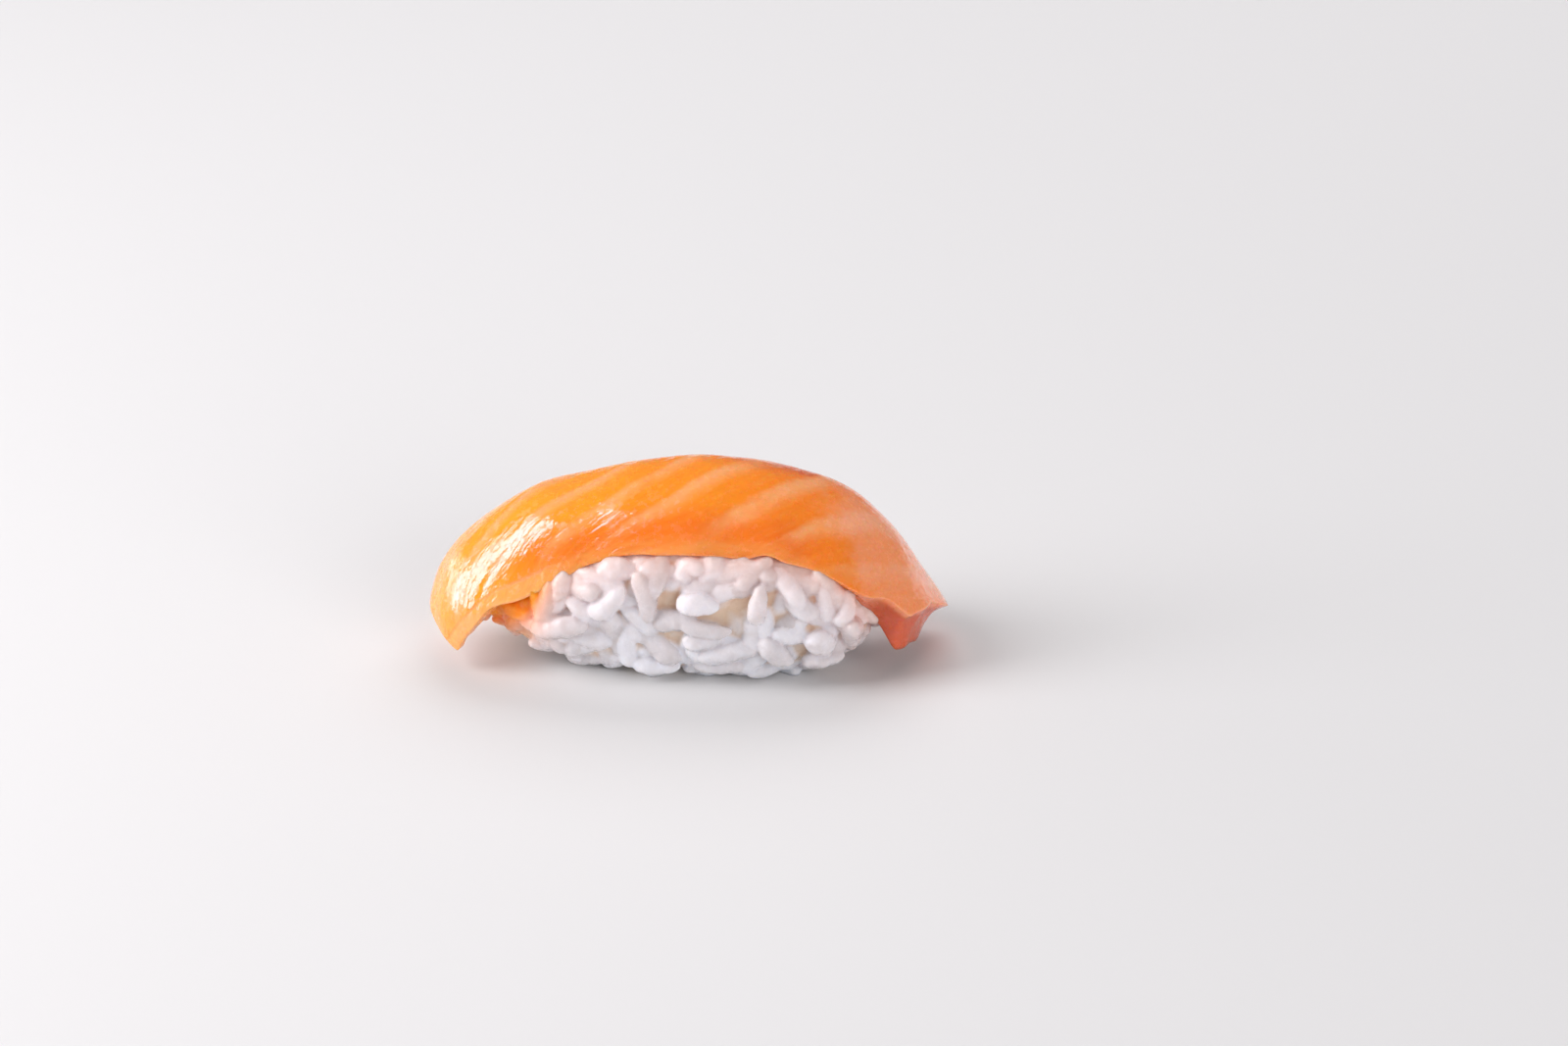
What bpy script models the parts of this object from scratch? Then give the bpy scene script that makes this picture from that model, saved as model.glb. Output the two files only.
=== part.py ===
"""Salmon nigiri: a hand-pressed loaf of sushi rice with one slice of raw salmon draped over it.

Metres, +Z up, +X along the loaf, -Y the shown long side. The origin is on the table under the middle.
"""

import math
import random

import bmesh
import bpy
from mathutils import Matrix, Vector
from mathutils.bvhtree import BVHTree

MM = 0.001

# The slice lies flat as a strip, LEFT_ARC + RIGHT_ARC long, and bends down from its crest.
CREST_HEIGHT = 24.5 * MM
CREST_X = 3.9 * MM
LEFT_ARC = 44.4 * MM
LEFT_TILT = math.radians(90)
LEFT_EASE = 1.93
LEFT_REACH = 69.5 * MM
LEFT_TUCK = math.radians(32)
LEFT_TUCK_START = 33.5 * MM
LEFT_TUCK_REACH = 14.0 * MM
RIGHT_ARC = 35.5 * MM
RIGHT_TILT = math.radians(61.6)
RIGHT_EASE = 1.81
RIGHT_REACH = 32.7 * MM

# Waves of the crest line: along from the crest, reach along, height.
CREST_WAVES = ((-2.3 * MM, 4.2 * MM, 0.6 * MM), (-16.5 * MM, 4.6 * MM, -0.55 * MM))

# Across, the slice bends down from the crest line to its long edges.
SLICE_HALF_WIDTH = 13.8 * MM
SLICE_OFFSET = 0.8 * MM
EDGE_TILT = math.radians(70)
EDGE_REACH = 15.0 * MM
EDGE_EASE = 1.5
RIGHT_FLATTENING = 0.62
FRONT_NARROWING = 0.235
BACK_NARROWING = 0.5
BACK_TAPER = 3.4
RIGHT_NARROWING = 0.36
RIGHT_TAPER = 2.07
LEFT_TIP = 5.0 * MM
LEFT_SKEW = 6.9 * MM
RIGHT_ROUNDING = 1.1 * MM
RIGHT_SKEW = 3.2 * MM
RIGHT_SLANT = 3.4 * MM

# The knife leaves the slice thick in the middle and thin along its long edges.
SLICE_THICKNESS = 4.4 * MM
FRONT_THINNING = 0.58
BACK_THINNING = 0.45
LEFT_THINNING = 0.52
SLICE_CELLS = (20, 8)
RIM_CREASE = 0.8

# The bare loaf, without the grains that stand out of it.
LOAF_HALF = Vector((23.7, 10.2, 10.2)) * MM
LOAF_MIDDLE = Vector((-1.6, 0.0, 10.4)) * MM
PLAN_FULLNESS = (2.7, 4.0)
SIDE_FULLNESS = 2.9
LOAF_FOOT_Z = 0.7 * MM
LEFT_LIFT = 5.4 * MM
RIGHT_LIFT = 0.3 * MM
LIFT_POWER = 1.8
SLICE_GAP = 0.32 * MM
LOAF_NUDGE = 0.1 * MM

# Cooked short grains.
GRAIN_LENGTH = 6.9 * MM
GRAIN_WIDTH = 3.0 * MM
GRAIN_UNEVENNESS = 0.14
GRAIN_SIDES = 5
GRAIN_RINGS = 4
GRAIN_SPACING = 3.05 * MM
GRAIN_TRIES = 9000
GRAIN_NUDGE = 0.5 * MM
SEED = 7

# Grains that stand out on the shown side: along, height, tilt in degrees, length, width.
SHOWN_GRAINS = (
    (-3.6, 1.3, -2, 6.2, 2.6),
    (4.5, 1.7, 0, 7.6, 2.7),
    (5.2, 4.7, 13, 7.8, 3.1),
    (2.6, 8.4, -8, 6.9, 2.3),
    (2.1, 6.6, 6, 5.2, 2.2),
    (16.6, 5.4, -52, 4.6, 3.4),
    (17.6, 2.6, 2, 5.8, 2.7),
    (22.4, 4.4, -62, 7.2, 2.9),
    (20.0, 11.2, 72, 4.8, 2.6),
    (9.0, 11.6, 80, 5.6, 2.5),
    (1.7, 11.4, -4, 5.6, 3.0),
    (-5.0, 12.2, -78, 7.2, 2.8),
    (-15.4, 7.2, 13, 8.0, 3.2),
    (-9.3, 11.4, 46, 6.2, 2.7),
    (11.2, 4.9, -46, 6.0, 2.8),
)

RICE_COLOUR = (0.86, 0.84, 0.79, 1.0)
SALMON_COLOUR = (0.93, 0.33, 0.09, 1.0)


def eased(share, power):
    """0 to 1 with a start as soft as the power and a level end."""
    share = min(max(share, 0.0), 1.0)
    return share**power * (power + 1 - power * share)


def walked(distance, tilt_at, steps=24):
    """How far a walk goes level and down where the way tilts down by tilt_at(distance so far)."""
    level = drop = 0.0
    step = abs(distance) / steps
    for i in range(steps):
        tilt = tilt_at((i + 0.5) * step)
        level += math.cos(tilt) * step
        drop += math.sin(tilt) * step
    return math.copysign(level, distance), drop


def crest_tilt(s):
    """The slice's downward tilt along its crest line, s from the crest and positive to the right."""
    if s < 0:
        tuck = max(-s - LEFT_TUCK_START, 0.0) / LEFT_TUCK_REACH
        return LEFT_TILT * eased(-s / LEFT_REACH, LEFT_EASE) + LEFT_TUCK * tuck**2
    return RIGHT_TILT * eased(s / RIGHT_REACH, RIGHT_EASE)


def edge_tilt(s, t):
    """The slice's downward tilt across, t from the crest line. It lies flatter at the right end."""
    flatness = 1 - RIGHT_FLATTENING * min(max(s / RIGHT_ARC, 0.0), 1.0) ** 3
    return EDGE_TILT * flatness * eased(abs(t) / EDGE_REACH, EDGE_EASE)


def draped(s, t, depth):
    """The point at a depth under the top surface, s along and t across the slice."""
    level, drop = walked(s, lambda d: crest_tilt(math.copysign(d, s)))
    out, fall = walked(t, lambda d: edge_tilt(s, d))
    along, across = crest_tilt(s), edge_tilt(s, t)
    up = Vector((math.copysign(math.sin(along), s), 0, math.cos(along)))
    normal = up * math.cos(across) + Vector((0, math.copysign(math.sin(across), t), 0))
    wave = sum(high * math.exp(-(((level - at) / reach) ** 2)) for at, reach, high in CREST_WAVES)
    crest = Vector((CREST_X + level, out, CREST_HEIGHT - drop + wave))
    return crest - up * fall - normal * depth


def slice_point(a, b, c):
    """The slice's point at a share a along, b across, both -1 to 1, and c down, 0 to 1."""
    if a < 0:
        narrowing = FRONT_NARROWING * a**8 if b < 0 else BACK_NARROWING * (-a) ** BACK_TAPER
        s = a * (LEFT_ARC + LEFT_TIP * min(b, 0) ** 4 - LEFT_SKEW * max(b, 0) ** 1.5)
    else:
        narrowing = RIGHT_NARROWING * a**RIGHT_TAPER
        s = a * (RIGHT_ARC + RIGHT_SKEW * b - RIGHT_ROUNDING * b * b)
        s += RIGHT_SLANT * c * a**5 * (1 - b) / 2
    t = SLICE_OFFSET + b * SLICE_HALF_WIDTH * (1 - narrowing)
    full = 1 - LEFT_THINNING * max(-a, 0) ** 3
    if b < 0:
        full *= 1 - FRONT_THINNING * (1 - max(a, 0) ** 2) * (-b) ** 3
    else:
        full *= 1 - BACK_THINNING * b**3
    return draped(s, t, c * SLICE_THICKNESS * full)


def new_object(name, mesh_data, collection):
    obj = bpy.data.objects.new(name, mesh_data)
    collection.objects.link(obj)
    return obj


def mesh_from(bm, name):
    data = bpy.data.meshes.new(name)
    bm.to_mesh(data)
    bm.free()
    return data


def evaluated_mesh(obj):
    """The object's mesh with its modifiers applied."""
    bpy.context.view_layer.update()
    graph = bpy.context.evaluated_depsgraph_get()
    return bpy.data.meshes.new_from_object(obj.evaluated_get(graph), depsgraph=graph)


def bvh_of(obj, growth=0.0):
    """A search tree of the object as evaluated, at the origin, grown outwards on all sides."""
    bm = bmesh.new()
    bm.from_mesh(evaluated_mesh(obj))
    bmesh.ops.triangulate(bm, faces=bm.faces)
    bm.normal_update()
    for vert in bm.verts:
        vert.co += vert.normal * growth
    tree = BVHTree.FromBMesh(bm)
    bm.free()
    return tree


def make_slice(collection):
    """A grid extruded to a slab, bent over the loaf and smoothed, with its cut rim kept fairly crisp."""
    bm = bmesh.new()
    bmesh.ops.create_grid(bm, x_segments=SLICE_CELLS[0], y_segments=SLICE_CELLS[1], size=1)
    made = bmesh.ops.extrude_face_region(bm, geom=bm.faces[:])
    lower = [v for v in made["geom"] if isinstance(v, bmesh.types.BMVert)]
    bmesh.ops.translate(bm, verts=lower, vec=(0, 0, -1))
    crease = bm.edges.layers.float.new("crease_edge")
    for edge in bm.edges:
        steep = [abs(f.normal.z) < 0.5 for f in edge.link_faces]
        if any(steep) and not all(steep):
            edge[crease] = RIM_CREASE
    for vert in bm.verts:
        vert.co = slice_point(vert.co.x, vert.co.y, -vert.co.z)
    bmesh.ops.recalc_face_normals(bm, faces=bm.faces)
    salmon = new_object("salmon", mesh_from(bm, "salmon"), collection)
    smooth = salmon.modifiers.new("Smooth flesh", "SUBSURF")
    smooth.levels = smooth.render_levels = 1
    return salmon


def room_over(point, slice_tree):
    """The height under the slice, gap left, or a great height where there is no slice above."""
    hit = slice_tree.ray_cast(Vector((point.x, point.y, -1)), Vector((0, 0, 1)))[0]
    return hit.z if hit else 1.0


def make_loaf(collection, slice_tree):
    """The bare loaf: a ball pulled to a full rounded block, flat underneath and fitted under the slice."""
    bm = bmesh.new()
    bmesh.ops.create_uvsphere(bm, u_segments=28, v_segments=12, radius=1)
    for vert in bm.verts:
        x, y, z = (abs(c) for c in vert.co)
        fullness = PLAN_FULLNESS[vert.co.x > 0]
        plan = (x**fullness + y**fullness) ** (1 / fullness)
        size = (plan**SIDE_FULLNESS + z**SIDE_FULLNESS) ** (1 / SIDE_FULLNESS)
        share = vert.co.x / size
        lift = (LEFT_LIFT if share < 0 else RIGHT_LIFT) * abs(share) ** LIFT_POWER
        vert.co = LOAF_MIDDLE + Vector(c * h for c, h in zip(vert.co / size, LOAF_HALF))
        vert.co.z = max(vert.co.z, LOAF_FOOT_Z + lift)
        vert.co.z = min(vert.co.z, room_over(vert.co, slice_tree))
    bmesh.ops.triangulate(bm, faces=bm.faces)
    bmesh.ops.recalc_face_normals(bm, faces=bm.faces)
    bm.faces.ensure_lookup_table()
    crossing = BVHTree.FromBMesh(bm).overlap(slice_tree)
    while crossing:
        for vert in {vert for face, _ in crossing for vert in bm.faces[face].verts}:
            vert.co += (LOAF_MIDDLE - vert.co).normalized() * LOAF_NUDGE
        crossing = BVHTree.FromBMesh(bm).overlap(slice_tree)
    return new_object("rice", mesh_from(bm, "rice"), collection)


def grain_bmesh(length, width, bend, blunt):
    """A grain along X: a few-sided ball drawn out, blunt at its ends and a little bent."""
    bm = bmesh.new()
    bmesh.ops.create_uvsphere(bm, u_segments=GRAIN_SIDES, v_segments=GRAIN_RINGS, radius=1)
    for vert in bm.verts:
        along = math.copysign(abs(vert.co.z) ** blunt, vert.co.z)
        sideways = Vector((vert.co.x, vert.co.y)) * width / 2
        lift = bend * (1 - along * along)
        vert.co = Vector((along * length / 2, sideways.x, sideways.y * 0.86 + lift))
    bmesh.ops.recalc_face_normals(bm, faces=bm.faces)
    return bm


def pose_on(point, normal, turn, tip, stand_off):
    """The matrix that lays a grain on the loaf, turned about the normal and tipped out of the surface."""
    level = Vector((0, 0, 1)).cross(normal)
    level = level.normalized() if level.length > 0.05 else Vector((1, 0, 0))
    along = Matrix.Rotation(turn, 3, normal) @ level
    across = normal.cross(along).normalized()
    along = Matrix.Rotation(tip, 3, across) @ along
    rotation = Matrix((along, across, along.cross(across))).transposed()
    return Matrix.Translation(point + normal * stand_off) @ rotation.to_4x4()


def clear_of(bm, slice_tree):
    """Whether the grain is wholly below or beside the slice, with the gap."""
    if BVHTree.FromBMesh(bm).overlap(slice_tree):
        return False
    return all(vert.co.z < room_over(vert.co, slice_tree) for vert in bm.verts)


def settle(bm, normal, slice_tree):
    """Moves a grain down and out until it clears the slice. False if it finds no room."""
    outwards = Vector((normal.x, normal.y, -1)).normalized() * GRAIN_NUDGE
    for _ in range(4):
        if clear_of(bm, slice_tree):
            return True
        bmesh.ops.translate(bm, verts=bm.verts, vec=outwards)
    return False


def surface_point(tree, rng):
    """A point of the loaf in a random direction from its middle, with the normal there."""
    way = Vector(rng.gauss(0, 1) * half for half in LOAF_HALF)
    return tree.ray_cast(LOAF_MIDDLE, way)[:2]


def make_grains(loaf, slice_tree, collection):
    """The grains that stand out of the loaf: the named ones first, then others wherever there is room."""
    rng = random.Random(SEED)
    loaf_tree = bvh_of(loaf)
    centres = []

    def lay(point, normal, turn, tip, stand_off, shape):
        bm = grain_bmesh(*shape)
        bmesh.ops.transform(bm, matrix=pose_on(point, normal, turn, tip, stand_off), verts=bm.verts)
        if not settle(bm, normal, slice_tree):
            bm.free()
            return
        centres.append(point)
        new_object(f"grain_{len(centres):03d}", mesh_from(bm, "grain"), collection)

    for along, height, tilt, length, width in SHOWN_GRAINS:
        shown = Vector((along * MM, -LOAF_HALF.y, height * MM))
        point, normal = loaf_tree.find_nearest(shown)[:2]
        shape = length * MM, width * MM, rng.uniform(-0.3, 0.4) * MM, rng.uniform(0.75, 0.95)
        lay(point, normal, math.radians(tilt), 0.0, rng.uniform(0.55, 0.8) * MM, shape)

    for _ in range(GRAIN_TRIES):
        point, normal = surface_point(loaf_tree, rng)
        turn = rng.uniform(0, math.pi)
        tip = rng.gauss(0, math.radians(11))
        stand_off = rng.uniform(0.05, 0.5) * MM
        length = GRAIN_LENGTH * (1 + rng.uniform(-1, 1) * GRAIN_UNEVENNESS)
        width = GRAIN_WIDTH * (1 + rng.uniform(-1, 1) * GRAIN_UNEVENNESS)
        shape = length, width, rng.uniform(-0.3, 0.4) * MM, rng.uniform(0.75, 0.95)
        if all((point - other).length > GRAIN_SPACING for other in centres):
            lay(point, normal, turn, tip, stand_off, shape)
    return len(centres)


def keep_outer_shell(bm):
    """Drops sealed hollows and loose scraps, keeping the one shell that reaches furthest."""
    unseen = set(bm.verts)
    shells = []
    while unseen:
        found = {unseen.pop()}
        edge_of_search = list(found)
        while edge_of_search:
            vert = edge_of_search.pop()
            near = {e.other_vert(vert) for e in vert.link_edges} - found
            found |= near
            edge_of_search.extend(near)
        unseen -= found
        shells.append(found)
    shells.sort(key=len)
    for shell in shells[:-1]:
        bmesh.ops.delete(bm, geom=list(shell), context="VERTS")


def fuse(rice, grains, cutters):
    """Joins the grains and the loaf to one solid and cuts it level where it rests."""
    union = rice.modifiers.new("Grains", "BOOLEAN")
    union.operation = "UNION"
    union.operand_type = "COLLECTION"
    union.collection = grains
    union.solver = "EXACT"
    bpy.ops.mesh.primitive_cube_add(size=1, location=(0, 0, -0.5))
    table = bpy.context.object
    table.name = "table_cutter"
    for owner in table.users_collection:
        owner.objects.unlink(table)
    cutters.objects.link(table)
    table.hide_render = True
    table.display_type = "WIRE"
    level = rice.modifiers.new("Level foot", "BOOLEAN")
    level.operation = "DIFFERENCE"
    level.object = table
    level.solver = "EXACT"
    fused = evaluated_mesh(rice)
    rice.modifiers.clear()
    rice.data = fused
    for obj in [*grains.objects, table]:
        bpy.data.objects.remove(obj)
    bm = bmesh.new()
    bm.from_mesh(rice.data)
    keep_outer_shell(bm)
    bmesh.ops.triangulate(bm, faces=bm.faces)
    bm.to_mesh(rice.data)
    bm.free()


def set_origin(objects):
    """Moves the finished solids so that the origin is under the middle of the whole."""
    meshes = {obj: evaluated_mesh(obj) for obj in objects}
    points = [v.co for data in meshes.values() for v in data.vertices]
    low = [min(p[k] for p in points) for k in range(3)]
    high = [max(p[k] for p in points) for k in range(3)]
    shift = Vector((-(low[0] + high[0]) / 2, -(low[1] + high[1]) / 2, -low[2]))
    for obj in objects:
        obj.data.transform(Matrix.Translation(shift))
    return shift


def finish(obj, name, colour, roughness, subsurface):
    """Gives the object its material and smooth shading."""
    material = bpy.data.materials.new(name)
    material.use_nodes = True
    shader = material.node_tree.nodes["Principled BSDF"]
    shader.inputs["Base Color"].default_value = colour
    shader.inputs["Roughness"].default_value = roughness
    shader.inputs["Subsurface Weight"].default_value = subsurface
    obj.data.materials.clear()
    obj.data.materials.append(material)
    obj.data.shade_smooth()


def collection_named(name):
    made = bpy.data.collections.new(name)
    bpy.context.scene.collection.children.link(made)
    return made


def main():
    for obj in list(bpy.data.objects):
        bpy.data.objects.remove(obj)
    nigiri = collection_named("salmon_nigiri")
    grains = collection_named("grains")
    cutters = collection_named("cutters")
    salmon = make_slice(nigiri)
    slice_tree = bvh_of(salmon, SLICE_GAP)
    rice = make_loaf(nigiri, slice_tree)
    count = make_grains(rice, slice_tree, grains)
    fuse(rice, grains, cutters)
    shift = set_origin([rice, salmon])
    finish(rice, "sushi rice", RICE_COLOUR, 0.42, 0.3)
    finish(salmon, "raw salmon", SALMON_COLOUR, 0.22, 0.3)
    print(f"{count} grains, shift {[round(c / MM, 2) for c in shift]} mm")


main()
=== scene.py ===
"""Salmon nigiri: a slice of raw salmon over a hand-pressed loaf of rice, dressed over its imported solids."""

import logging
import math
import random
from collections.abc import Callable
from dataclasses import dataclass, field, replace
from enum import Enum

import bmesh
import bpy
from mathutils import Matrix, Vector, noise
from mathutils.bvhtree import BVHTree

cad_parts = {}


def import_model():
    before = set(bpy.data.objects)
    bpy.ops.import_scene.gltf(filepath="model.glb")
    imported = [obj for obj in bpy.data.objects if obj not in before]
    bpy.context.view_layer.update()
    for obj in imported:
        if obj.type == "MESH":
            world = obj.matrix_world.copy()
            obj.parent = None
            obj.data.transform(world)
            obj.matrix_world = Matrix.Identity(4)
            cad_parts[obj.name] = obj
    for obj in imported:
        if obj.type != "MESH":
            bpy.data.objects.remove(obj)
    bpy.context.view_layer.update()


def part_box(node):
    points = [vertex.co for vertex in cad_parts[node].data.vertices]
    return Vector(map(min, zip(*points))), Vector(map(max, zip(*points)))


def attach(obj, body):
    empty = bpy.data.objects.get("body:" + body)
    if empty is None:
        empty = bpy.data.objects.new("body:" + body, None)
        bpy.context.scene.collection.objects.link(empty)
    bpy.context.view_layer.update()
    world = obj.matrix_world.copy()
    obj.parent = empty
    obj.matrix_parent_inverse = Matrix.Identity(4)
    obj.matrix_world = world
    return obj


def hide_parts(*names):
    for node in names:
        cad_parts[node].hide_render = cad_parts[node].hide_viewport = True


MM = 0.001
CAD_GAP = 0.32 * MM
CONTACT = 0.15 * MM
UP = Vector((0, 0, 1))
LOG = logging.getLogger("nigiri")

Socket = bpy.types.NodeSocket
Value = Socket | float | tuple[float, ...]
Reach = tuple[float, float]


def eased(share: float, power: float) -> float:
    """Gives a curve from 0 to 1 over a share, as soft at its start as the power and level at its end."""
    share = min(max(share, 0.0), 1.0)
    return share**power * (power + 1 - power * share)


def walked(distance: float, tilt_at: Callable[[float], float], steps: int = 24) -> tuple[float, float]:
    """Walks a bending way.

    Args:
        distance: the length of the walk, negative for the other way.
        tilt_at: the downward tilt of the way after a length walked.
        steps: how many straight bits the walk has.

    Returns:
        How far the walk goes level, with the sign of the distance, and how far down.
    """
    level = drop = 0.0
    step = abs(distance) / steps
    for i in range(steps):
        tilt = tilt_at((i + 0.5) * step)
        level += math.cos(tilt) * step
        drop += math.sin(tilt) * step
    return math.copysign(level, distance), drop


def tint(red: float, green: float, blue: float) -> tuple[float, float, float, float]:
    """Turns a screen colour of 0 to 255 a channel into the scene's linear colour.

    Args:
        red: the red channel.
        green: the green channel.
        blue: the blue channel.

    Returns:
        The linear colour with full alpha.
    """

    def linear(channel: float) -> float:
        """Turns one channel linear."""
        share = channel / 255
        return share / 12.92 if share <= 0.04045 else ((share + 0.055) / 1.055) ** 2.4

    return linear(red), linear(green), linear(blue), 1.0


def mesh_from(bm: bmesh.types.BMesh, name: str) -> bpy.types.Mesh:
    """Writes the bmesh to a new mesh and frees it.

    Args:
        bm: the shape.
        name: the mesh's name.

    Returns:
        The mesh.
    """
    data = bpy.data.meshes.new(name)
    bm.to_mesh(data)
    bm.free()
    return data


def new_object(name: str, data: bpy.types.Mesh) -> bpy.types.Object:
    """Puts a mesh in the scene at the origin.

    Args:
        name: the object's name.
        data: its mesh.

    Returns:
        The object.
    """
    obj = bpy.data.objects.new(name, data)
    bpy.context.scene.collection.objects.link(obj)
    return obj


def keep_largest(bm: bmesh.types.BMesh) -> None:
    """Deletes every connected part of a shape but the largest, such as a bubble shut in between grains.

    Args:
        bm: the shape.
    """
    left = set(bm.verts)
    parts = []
    while left:
        part = []
        edge = [left.pop()]
        while edge:
            vert = edge.pop()
            part.append(vert)
            for link in vert.link_edges:
                near = link.other_vert(vert)
                if near in left:
                    left.remove(near)
                    edge.append(near)
        parts.append(part)
    parts.sort(key=len)
    bmesh.ops.delete(bm, geom=[vert for part in parts[:-1] for vert in part], context="VERTS")


def smooth_levels(obj: bpy.types.Object, levels: int) -> None:
    """Gives the object a Subdivision Surface, its levels shown and rendered alike."""
    modifier = obj.modifiers.new("Smooth flesh", "SUBSURF")
    modifier.levels = modifier.render_levels = levels


def finished_bmesh(obj: bpy.types.Object) -> bmesh.types.BMesh:
    """Gives the object's shape with its modifiers applied.

    Args:
        obj: the object, at the origin.

    Returns:
        A new bmesh, which the caller frees.
    """
    bpy.context.view_layer.update()
    graph = bpy.context.evaluated_depsgraph_get()
    data = bpy.data.meshes.new_from_object(obj.evaluated_get(graph), depsgraph=graph)
    bm = bmesh.new()
    bm.from_mesh(data)
    bpy.data.meshes.remove(data)
    return bm


def evaluated_bmesh(obj: bpy.types.Object) -> bmesh.types.BMesh:
    """Gives the object's shape with its modifiers applied, in triangles.

    Args:
        obj: the object, at the origin.

    Returns:
        A new bmesh, which the caller frees.
    """
    bm = finished_bmesh(obj)
    bmesh.ops.triangulate(bm, faces=bm.faces)
    bm.normal_update()
    return bm


def tree_from(bm: bmesh.types.BMesh) -> BVHTree:
    """Makes a shape a tree of faces for looking up.

    Args:
        bm: the shape, which is freed.

    Returns:
        The tree.
    """
    tree = BVHTree.FromBMesh(bm)
    bm.free()
    return tree


def surface_tree(obj: bpy.types.Object) -> BVHTree:
    """Gives the object's finished surface for looking up."""
    return tree_from(evaluated_bmesh(obj))


@dataclass(frozen=True)
class Drape:
    """The form of the slice: a flat skew strip that is bent down from its crest along and across.

    The strip runs s along and t across from its crest, and depth is measured down from its top.
    """

    crest_height: float = 24.5 * MM
    crest_x: float = 3.9 * MM
    left_arc: float = 44.4 * MM
    left_tilt: float = math.radians(90)
    left_ease: float = 1.93
    left_reach: float = 69.5 * MM
    left_tuck: float = math.radians(32)
    left_tuck_start: float = 33.5 * MM
    left_tuck_reach: float = 14.0 * MM
    right_arc: float = 35.5 * MM
    right_tilt: float = math.radians(61.6)
    right_ease: float = 1.81
    right_reach: float = 32.7 * MM
    crest_waves: tuple[tuple[float, float, float], ...] = (
        (-2.3 * MM, 4.2 * MM, 0.6 * MM),
        (-16.5 * MM, 4.6 * MM, -0.55 * MM),
    )
    half_width: float = 13.8 * MM
    offset: float = 0.8 * MM
    edge_tilt: float = math.radians(70)
    edge_reach: float = 15.0 * MM
    edge_ease: float = 1.5
    right_flattening: float = 0.62
    front_narrowing: float = 0.235
    front_taper: int = 8
    back_narrowing: float = 0.5
    back_taper: float = 3.4
    right_narrowing: float = 0.36
    right_taper: float = 2.07
    left_tip: float = 5.0 * MM
    left_tip_power: int = 4
    left_skew: float = 6.9 * MM
    left_skew_power: float = 1.5
    right_rounding: float = 1.1 * MM
    right_skew: float = 3.2 * MM
    right_slant: float = 3.4 * MM
    right_slant_power: int = 5
    thickness: float = 4.4 * MM
    front_thinning: float = 0.58
    back_thinning: float = 0.45
    left_thinning: float = 0.52

    def tilt_along(self, s: float) -> float:
        """Gives the downward tilt along the crest line.

        Args:
            s: the place along it, from the crest and positive to the right.

        Returns:
            The tilt in radians.
        """
        if s < 0:
            tuck = max(-s - self.left_tuck_start, 0.0) / self.left_tuck_reach
            return self.left_tilt * eased(-s / self.left_reach, self.left_ease) + self.left_tuck * tuck**2
        return self.right_tilt * eased(s / self.right_reach, self.right_ease)

    def tilt_across(self, s: float, t: float) -> float:
        """Gives the downward tilt across at a place along and across, which is less at the right end."""
        flatness = 1 - self.right_flattening * min(max(s / self.right_arc, 0.0), 1.0) ** 3
        return self.edge_tilt * flatness * eased(abs(t) / self.edge_reach, self.edge_ease)

    def point(self, s: float, t: float, depth: float) -> Vector:
        """Bends a place of the flat strip into the draped slice.

        Args:
            s: the place along.
            t: the place across.
            depth: how far it is under the top surface.

        Returns:
            The point in the frame that part.py starts from.
        """
        level, drop = walked(s, lambda d: self.tilt_along(math.copysign(d, s)))
        out, fall = walked(t, lambda d: self.tilt_across(s, d))
        along, across = self.tilt_along(s), self.tilt_across(s, t)
        up = Vector((math.copysign(math.sin(along), s), 0, math.cos(along)))
        normal = up * math.cos(across) + Vector((0, math.copysign(math.sin(across), t), 0))
        wave = sum(h * math.exp(-(((level - at) / reach) ** 2)) for at, reach, h in self.crest_waves)
        crest = Vector((self.crest_x + level, out, self.crest_height - drop + wave))
        return crest - up * fall - normal * depth

    def flat_place(self, a: float, b: float, c: float) -> Vector:
        """Gives the place on the flat strip of a point of the unit slab.

        Args:
            a: the share along, -1 to 1.
            b: the share across, -1 to 1.
            c: the share down through the slice, 0 to 1.

        Returns:
            s, t and depth.
        """
        if a < 0:
            narrowing = self.back_narrowing * (-a) ** self.back_taper
            if b < 0:
                narrowing = self.front_narrowing * a**self.front_taper
            tip = self.left_tip * min(b, 0.0) ** self.left_tip_power
            s = a * (self.left_arc + tip - self.left_skew * max(b, 0.0) ** self.left_skew_power)
        else:
            narrowing = self.right_narrowing * a**self.right_taper
            s = a * (self.right_arc + self.right_skew * b - self.right_rounding * b * b)
            s += self.right_slant * c * a**self.right_slant_power * (1 - b) / 2
        t = self.offset + b * self.half_width * (1 - narrowing)
        full = 1 - self.left_thinning * max(-a, 0) ** 3
        if b < 0:
            full *= 1 - self.front_thinning * (1 - max(a, 0) ** 2) * (-b) ** 3
        else:
            full *= 1 - self.back_thinning * b**3
        return Vector((s, t, c * self.thickness * full))


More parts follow.
